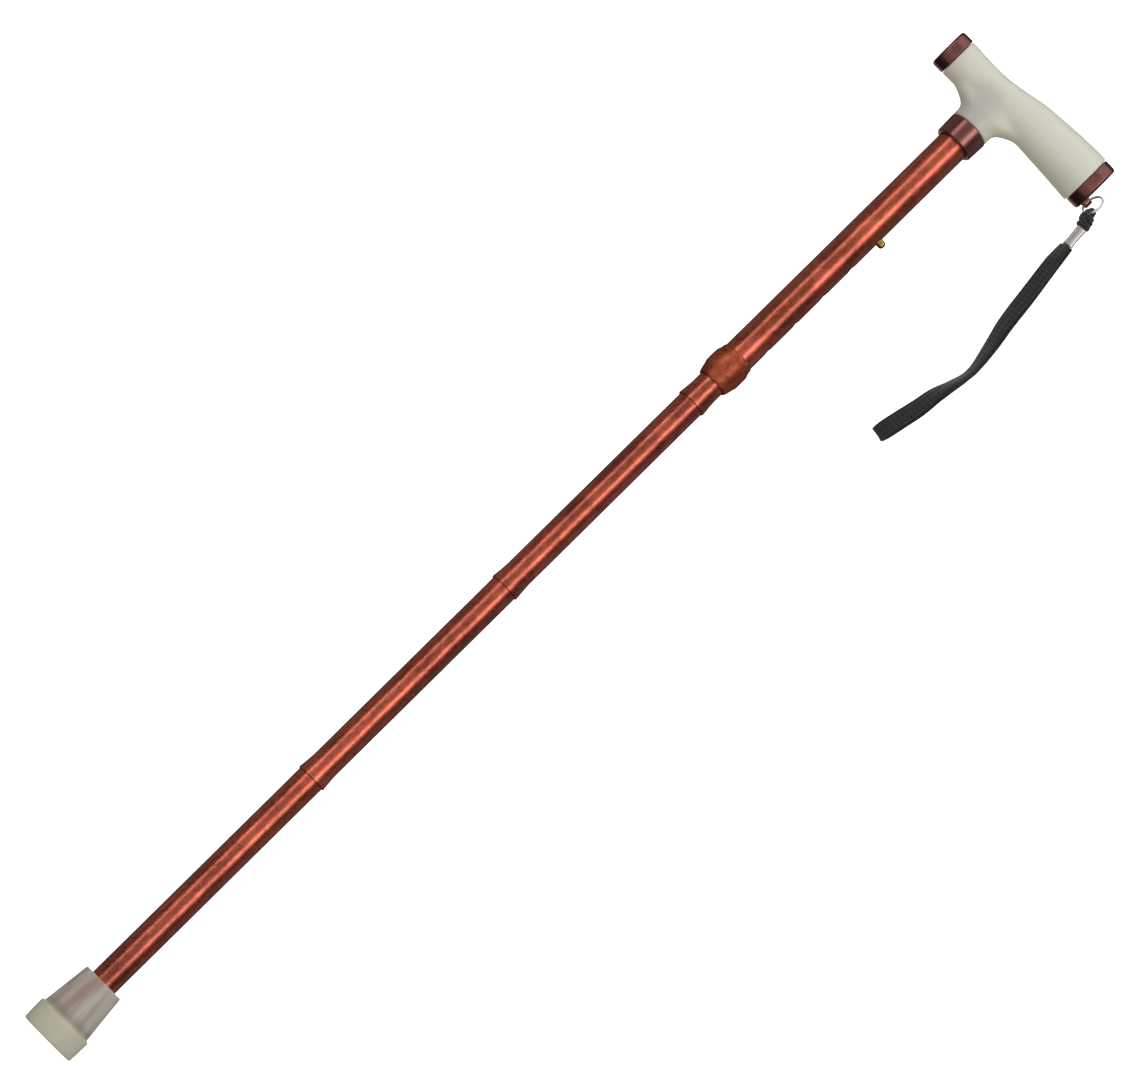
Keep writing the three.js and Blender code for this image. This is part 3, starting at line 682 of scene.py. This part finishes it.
def strap_eye():
    """The tab of the rear cap: a rounded lug with an upright eye through it."""
    root, r, half = REAR_CAP["x"][1] - 1, EYE_WALL_R, EYE_HEIGHT / 2
    nose = [(EYE.x + r * math.sin(a), -r * math.cos(a)) for a in np.linspace(0, math.pi, 21)]
    edge = [(root, -r), *nose, (root, r)]
    count = len(edge)
    points = [(x, y, EYE.z + s * half) for s in (-1, 1) for x, y in edge]
    faces = [tuple(range(count)), tuple(range(count, 2 * count))]
    faces += [(k, (k + 1) % count, (k + 1) % count + count, k + count) for k in range(count)]
    lug = made("eye_tab", points, faces, MAROON)
    hole = lathe("eye_hole", [(0, -8), (EYE_R, -8), (EYE_R, 8), (0, 8)], MAROON, False, 0, 48)
    hole.data.transform(Matrix.Translation(EYE * MM))
    lug = drilled(lug, [hole])
    bevel = lug.modifiers.new("edge", "BEVEL")
    bevel.width, bevel.segments = 0.45 * MM, 3
    bevel.limit_method, bevel.angle_limit = "ANGLE", math.radians(50)
    return lug


part(end_cap("front_cap_shell", FRONT_CAP), "handle", "trim_maroon", "front_end_cap")
part(end_cap("rear_cap_shell", REAR_CAP), "handle", "trim_maroon", "rear_end_cap")
part(strap_eye(), "handle", "trim_maroon")

low, high = COLLAR_Z
collar = [
    (COLLAR_R[0] - 0.9, low), (COLLAR_R[0] - 0.1, low + 0.9, 0.5), (COLLAR_R[1], high - 0.4, 0.3),
    (COLLAR_R[1] - 0.4, high), (HANDLE_TUBE_R + GAP, high), (HANDLE_TUBE_R + GAP, low)]
part(lathe("collar_ring", collar, MAROON, radius=0.3), "handle", "trim_maroon", "handle_collar")

low, high = HANDLE_TUBE_Z
tube = lathe("outer_tube", [
    (HANDLE_TUBE_R - 0.25, low), (HANDLE_TUBE_R, low + 0.25), (HANDLE_TUBE_R, high), (HANDLE_BORE_R, high),
    (HANDLE_BORE_R, low)], COPPER, radius=0.1, sides=144)


def button_hole(z):
    """A cutter along +X, countersunk a little in the upper tube's outside."""
    r, mouth_r, sink, skin = BUTTON_HOLE_R, BUTTON_HOLE_R + 0.5, HANDLE_TUBE_R - 0.25, HANDLE_TUBE_R + GAP
    profile = [(0, 5), (r, 5), (r, sink), (mouth_r, skin), (mouth_r, 15), (0, 15)]
    return lathe("hole", profile, COPPER, False, 0, 48, axis="X", lift=z)


holes = [button_hole(BUTTON_Z - i * HOLE_PITCH) for i in range(5)]
part(drilled(tube, holes, 30), "handle", "shaft_copper", "handle_tube")


def thread():
    """The threaded sleeve: rounded ridges, 2 mm apart."""
    z0, z1, pitch, crest_r, depth = 588.6, 595, 2, 11.98, 0.32
    ridges = [(crest_r - depth * (1 - math.cos(2 * math.pi * (z - z0) / pitch)) / 2, z, 0)
              for z in np.linspace(z0, z1, 61)]
    return lathe("threaded_sleeve_skin", ridges + [(11.25, z1, 0.1), (11.25, z0, 0.1)], BLACK, radius=0)


part(thread(), "handle", "plastic_black", "threaded_sleeve")

low, high = LIP_TOP_Z + GAP, HANDLE_TUBE_Z[0] - GAP
collet = lathe("split_collet", [
    (RING_BORE_R - 1.7, low), (RING_BORE_R - 0.4, high), (SHAFT_R + 0.25, high), (SHAFT_R + 0.25, low)],
    BLACK, radius=0.35)
slit = made("slit", [(x, y, z) for x in (-16, -6) for y in (-0.7, 0.7) for z in (low - 2, high + 2)],
            [(0, 1, 3, 2), (4, 6, 7, 5), (0, 4, 5, 1), (2, 3, 7, 6), (0, 2, 6, 4), (1, 5, 7, 3)], BLACK)
part(drilled(collet, [slit]), "lock_collet", "plastic_black", "lock_collet")

# The lock ring's outside, as (depth below its widest radius, distance from its foot or top, rounding).
low, high = RING_Z
foot_side = [(2.65, 0, 0.3), (2.3, 0.6, 0.3), (1.55, 2.8, 1), (0.65, 6.8, 1), (0.15, 8.2, 0.6), (0, 9.4, 1)]
top_side = [(0, 6.8, 1), (0.2, 5.4, 0.6), (0.85, 4, 0.8), (1.25, 2.2, 1), (1.4, 0.6, 0.3), (1.75, 0, 0.2)]
ring_outside = [(RING_R - depth, low + rise, size) for depth, rise, size in foot_side]
ring_outside += [(RING_R - depth, high - drop, size) for depth, drop, size in top_side]
ring_inside = [
    (HANDLE_TUBE_R + 0.2, high, 0.1), (HANDLE_TUBE_R + GAP, high - 4.6, 0), (RING_BORE_R, high - 5.4, 0),
    (RING_BORE_R, LIP_TOP_Z + 6.8, 0), (RING_BORE_R - 1.4, LIP_TOP_Z, 0.2), (LIP_R, LIP_TOP_Z, 0.2),
    (LIP_R, low + 0.4, 0.2)]
part(lathe("faceted_lock_ring", ring_outside + ring_inside, LOCK_COPPER, radius=0.3, sides=144),
     "lock_ring", "lock_copper", "lock_ring")


# ---- lower sections ------------------------------------------------------------------------
SEAM = -0.1  # the top of each lower tube stands this far inside the mouth above it


def flare(height):
    """How far a mouth's outside stands out from its tube, at a height above the mouth."""
    return (MOUTH_R - SHAFT_R) * max(1 - height / MOUTH_LENGTH, 0) ** 1.5


def bell_tube(name, mouth, top):
    """A tube whose lower end is belled out over the section below it."""
    bell = [(SHAFT_R + flare(d) - 0.02, mouth + d, 0) for d in np.linspace(0.45, MOUTH_LENGTH, 12)]
    profile = [
        (MOUTH_R - 0.55, mouth + 0.05, 0.25), (MOUTH_R - 0.12, mouth, 0.3), *bell, (SHAFT_R, top - 0.3, 0),
        (SHAFT_R - 0.3, top, 0), (SHAFT_BORE_R, top, 0), (SHAFT_BORE_R, mouth + MOUTH_LENGTH, 0)]
    return lathe(name, profile, COPPER, radius=0.2, sides=128)


upper = bell_tube("inner_tube", JOINT_Z[0], ADJUST_TOP_Z)
part(drilled(upper, [button_hole(BUTTON_Z)], 30), "section_1", "shaft_copper", "adjust_tube")
for n, name in ((2, "upper_section"), (3, "middle_section")):
    section_tube = bell_tube(name, JOINT_Z[n - 1], JOINT_Z[n - 2] - SEAM)
    part(section_tube, f"section_{n}", "shaft_copper", f"section_{n}_tube")
foot, top = TIP_FLOOR_Z + 2.1, JOINT_Z[2] - SEAM
part(lathe("bottom_section", [
    (SHAFT_R - 0.25, foot), (SHAFT_R, foot + 0.25), (SHAFT_R, top - 0.3), (SHAFT_R - 0.3, top),
    (SHAFT_BORE_R, top), (SHAFT_BORE_R, foot)], COPPER, radius=0.1, sides=128),
    "section_4", "shaft_copper", "section_4_tube")


def spigot(n, z):
    """The plug in a section's top: a shoulder on the tube's rim, and a cone that guides the joint home."""
    waist_r, nose_r = 7.95, 4.4
    nose = [(waist_r - (waist_r - nose_r) * t ** 1.25, z + 10 + 10 * t, 0) for t in np.linspace(0, 0.94, 12)]
    return lathe(f"turned_spigot_{n}", [
        (PLUG_R, z - 28), (PLUG_R, z - SEAM, 0), (9.3, z - SEAM, 0), (9.3, z + 0.1, 0.1),
        (waist_r, z + 10, 0.6), *nose, (4.15, z + 19.9, 0.3), (CORD_HOLE_R, z + 20, 0.4),
        (CORD_HOLE_R, z - 28)], SPIGOT, radius=0.3)


for n, z in enumerate(JOINT_Z, 1):
    part(spigot(n, z), f"section_{n + 1}", "spigot_metal", f"spigot_{n}")

low, seat, high, bush_r, bush_bore_r = ADJUST_TOP_Z - 8, ADJUST_TOP_Z + GAP, ADJUST_TOP_Z + 3.3, 9.7, 6.2
part(lathe("sliding_bush", [
    (PLUG_R, low), (PLUG_R, seat, 0.1), (bush_r, seat, 0.3), (bush_r, high, 0.4), (bush_bore_r, high),
    (bush_bore_r, low)], BLACK, radius=0.3), "section_1", "plastic_black", "guide_bush")


def snap_clip():
    """A domed brass button riveted to one arm of a bent leaf spring."""
    bend, half_width, half_thick, base = 2.2, 3.0, 0.3, BUTTON_Z - 26
    middle_r = bend - half_thick
    turn = [Vector((middle_r * math.cos(a), 0, base - middle_r * math.sin(a)))
            for a in np.linspace(0, math.pi, 13)]
    near, far = Vector((7.1, 0, BUTTON_Z + 4)), Vector((-7.3, 0, BUTTON_Z + 2))
    line = [near.lerp(turn[0], t) for t in (0, 0.33, 0.66)] + turn
    line += [turn[-1].lerp(far, t) for t in (0.33, 0.66, 1)]
    edge, corner = half_width - 0.2, half_thick - 0.2
    flat = [(-edge, -half_thick), (edge, -half_thick), (half_width, -corner), (half_width, corner),
            (edge, half_thick), (-edge, half_thick), (-half_width, corner), (-half_width, -corner)]
    leaf = swept("snap_clip", line, flat, STEEL, Vector((0, 1, 0)), smooth=40)
    rise, tip = 2.2, BUTTON_TIP_X
    dome = [(BUTTON_R * math.cos(a), tip - rise + rise * math.sin(a), 0)
            for a in np.linspace(0, math.pi / 2 * 0.97, 12)]
    profile = [(0, 6.9, 0), (BUTTON_R, 6.9, 0), *dome, (0, tip, 0)]
    head = lathe("button_head", profile, BRASS, False, 0, 48, axis="X", lift=BUTTON_Z)
    return leaf, head


leaf, head = snap_clip()
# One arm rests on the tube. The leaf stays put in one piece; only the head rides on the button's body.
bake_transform(leaf)
part(head, "snap_button", "button_brass", "snap_button")


# ---- elastic cord --------------------------------------------------------------------------
def elastic(name, z0, z1, knot=0):
    """Braided cord along the axis. A knot swells its upper end for 1, its lower for -1."""
    steps = max(int(abs(z1 - z0) / 0.9), 8)
    path = [Vector((0, 0, z0 + (z1 - z0) * k / steps)) for k in range(steps + 1)]

    def section(i):
        depth = abs(path[i].z - (z1 if knot > 0 else z0))
        swell = 0
        if knot and depth < KNOT_LENGTH:
            swell = math.sin(math.pi * min(max(depth / (KNOT_LENGTH - GAP), 0), 1)) ** 0.6
            swell *= 0.88 + 0.12 * math.cos(depth * 2.6)
        return round_section(CORD_R - 0.05 + 1.95 * swell, 20)

    return swept(name, path, section, ELASTIC, Vector((1, 0, 0)), smooth=60)


def anchor(name, z):
    """A plug with a groove round it, which the cord's knot pulls against."""
    high = z + ANCHOR_LENGTH
    return lathe(name, [
        (PLUG_R, z), (PLUG_R, z + 3, 0.1), (7.8, z + 3.3, 0.1), (7.8, z + 4.7, 0.1), (PLUG_R, z + 5, 0.1),
        (PLUG_R, high), (CORD_HOLE_R, high), (CORD_HOLE_R, z)], BLACK, radius=0.4)


# Each section's own length: its name, body, CAD node, lower and upper end, and which end has the knot.
above, below = CORD_ABOVE + GAP, CORD_BELOW + GAP
upper_end, lower_end = TOP_ANCHOR_Z + ANCHOR_LENGTH + GAP + KNOT_LENGTH, BOTTOM_ANCHOR_Z - GAP - KNOT_LENGTH
for name, body, node, z0, z1, knot in (
        ("elastic_top", "section_1", "cord_top", JOINT_Z[0] + above, upper_end, 1),
        ("elastic_middle_2", "section_2", "cord_middle_2", JOINT_Z[1] + above, JOINT_Z[0] - below, 0),
        ("elastic_middle_3", "section_3", "cord_middle_3", JOINT_Z[2] + above, JOINT_Z[1] - below, 0),
        ("elastic_bottom", "section_4", "cord_bottom", lower_end, JOINT_Z[2] - below, -1)):
    part(elastic(name, z0, z1, knot), body, "elastic_cord", node)
part(anchor("upper_anchor", TOP_ANCHOR_Z), "section_1", "plastic_black", "cord_anchor_top")
part(anchor("lower_anchor", BOTTOM_ANCHOR_Z), "section_4", "plastic_black", "cord_anchor_bottom")

# Each joint's cord: one length across the hinge and the next below it. Both stay fixed where they are built,
# and the CAD joint cord is hidden.
for n, z in enumerate(JOINT_Z, 1):
    bends = elastic(f"elastic_bend_{n}", z - 2, z + CORD_ABOVE)
    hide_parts(f"cord_joint_{n}")
    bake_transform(bends)
    draws = elastic(f"elastic_draw_{n}", z - CORD_BELOW, z - 2)
    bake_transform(draws)


# ---- tip -----------------------------------------------------------------------------------
CONE_R, CONE_TOP_R, CONE_Z, CONE_HEIGHT = 17.8, 14.4, 16.4, 30.6
tread = [(7.5, 0), (8, 1.2), (9.6, 1.2), (10.1, 0), (13, 0), (13.5, 1.2), (15, 1.2), (15.5, 0)]
cone = [(CONE_R + (CONE_TOP_R - CONE_R) * t, CONE_Z + CONE_HEIGHT * t, 0) for t in np.linspace(0.06, 0.94, 9)]
part(lathe("stepped_tip", [
    (0, 0), *[(r, z, 0.25) for r, z in tread], (18.6, 0, 0.4), (19.35, 0.9, 0.5), (19.7, 14.6, 0.6),
    (19.2, TIP_FLANGE_Z, 0.4), (CONE_R, TIP_FLANGE_Z + 0.4, 0.5), *cone, (CONE_TOP_R, TIP_TOP_Z - 0.6, 0.6),
    (13.9, TIP_TOP_Z, 0.4), (SHAFT_R + GAP, TIP_TOP_Z, 0.2), (SHAFT_R + GAP, TIP_FLOOR_Z, 0),
    (0, TIP_FLOOR_Z)],
    TIP, False, 0.3, 160), "section_4", "tip_rubber", "rubber_tip")
low, high, washer_r, washer_bore_r = TIP_FLOOR_Z + GAP, TIP_FLOOR_Z + 1.8, SHAFT_R - 0.2, 3
washer = [(washer_r, low), (washer_r, high), (washer_bore_r, high), (washer_bore_r, low)]
part(lathe("flat_washer", washer, STEEL, radius=0.25), "section_4", "steel_plain", "tip_washer")


# ---- floor, backdrop and light -------------------------------------------------------------
def studio():
    """A pale floor that curves up into a wall all round. It glows, and the lamps alone light the stick."""
    n = Nodes("pale_studio")
    pale = n.mix(n.noise(n.place(), 2), [0.80, 0.80, 0.80, 1], [0.84, 0.84, 0.84, 1])
    n.set(Base_Color=pale, Roughness=0.9, Emission_Color=(1, 1, 1, 1), Emission_Strength=0.85)
    floor_r, floor_z, cove, wall_z = 4200, -0.4, 1800, 7000
    line = [(0, floor_z, 0), (floor_r, floor_z, 0)]
    line += [(floor_r + cove * math.sin(a), cove * (1 - math.cos(a)), 0)
             for a in np.linspace(0.1, math.pi / 2, 14)]
    bowl = lathe("studio_bowl", line + [(floor_r + cove, wall_z, 0)], n.material, False, 0, 96)
    bowl.visible_glossy = bowl.visible_diffuse = bowl.visible_transmission = False


studio()


def softbox(name, at, aim, size, power, camera_sees=True):
    """A soft lamp of a width and height in metres and a power in watts."""
    lamp = bpy.data.lights.new(name, "AREA")
    lamp.shape, lamp.size, lamp.size_y, lamp.energy = "RECTANGLE", *size, power
    obj = bpy.data.objects.new(name, lamp)
    obj.location = at
    obj.rotation_euler = (Vector(at) - Vector(aim)).to_track_quat("Z", "Y").to_euler()
    obj.visible_camera = camera_sees
    bpy.context.collection.objects.link(obj)


def round_stick(degrees, distance, height):
    """A place round the stick: 0 is in front of it, and more turns towards +X."""
    turn = math.radians(degrees)
    return distance * math.sin(turn), -distance * math.cos(turn), height


# The two strips draw the streaks down the tubes, and the sheens light what lies between and beside them.
softbox("strip_left", round_stick(-44, 1.6, 0.85), (0, 0, 0.55), (0.3, 2.3), 6)
softbox("strip_right", round_stick(28, 1.6, 0.85), (0, 0, 0.55), (0.55, 2.3), 11)
softbox("overhead", (0.1, -0.5, 2.3), (0.02, 0, 0.85), (2.4, 2.0), 11)
softbox("low_bounce", (0.1, -1.2, 0.012), (0.1, -1.2, 1), (2.4, 1.8), 4.5, camera_sees=False)
softbox("front_sheen", round_stick(-10, 1.9, 0.7), (0, 0, 0.5), (1.5, 2.2), 3.4)
softbox("side_sheen_left", round_stick(-105, 1.9, 0.7), (0, 0, 0.5), (2.4, 2.2), 3.2)
softbox("side_sheen_right", round_stick(105, 1.9, 0.7), (0, 0, 0.5), (2.4, 2.2), 3.2)
softbox("back_sheen", round_stick(180, 1.9, 0.7), (0, 0, 0.5), (1.5, 2.2), 5)

world = bpy.data.worlds.new("studio_world")
world.use_nodes = True
world.node_tree.nodes["Background"].inputs["Color"].default_value = (1, 1, 1, 1)
world.node_tree.nodes["Background"].inputs["Strength"].default_value = 0.42
world.cycles_visibility.glossy = False
bpy.context.scene.world = world
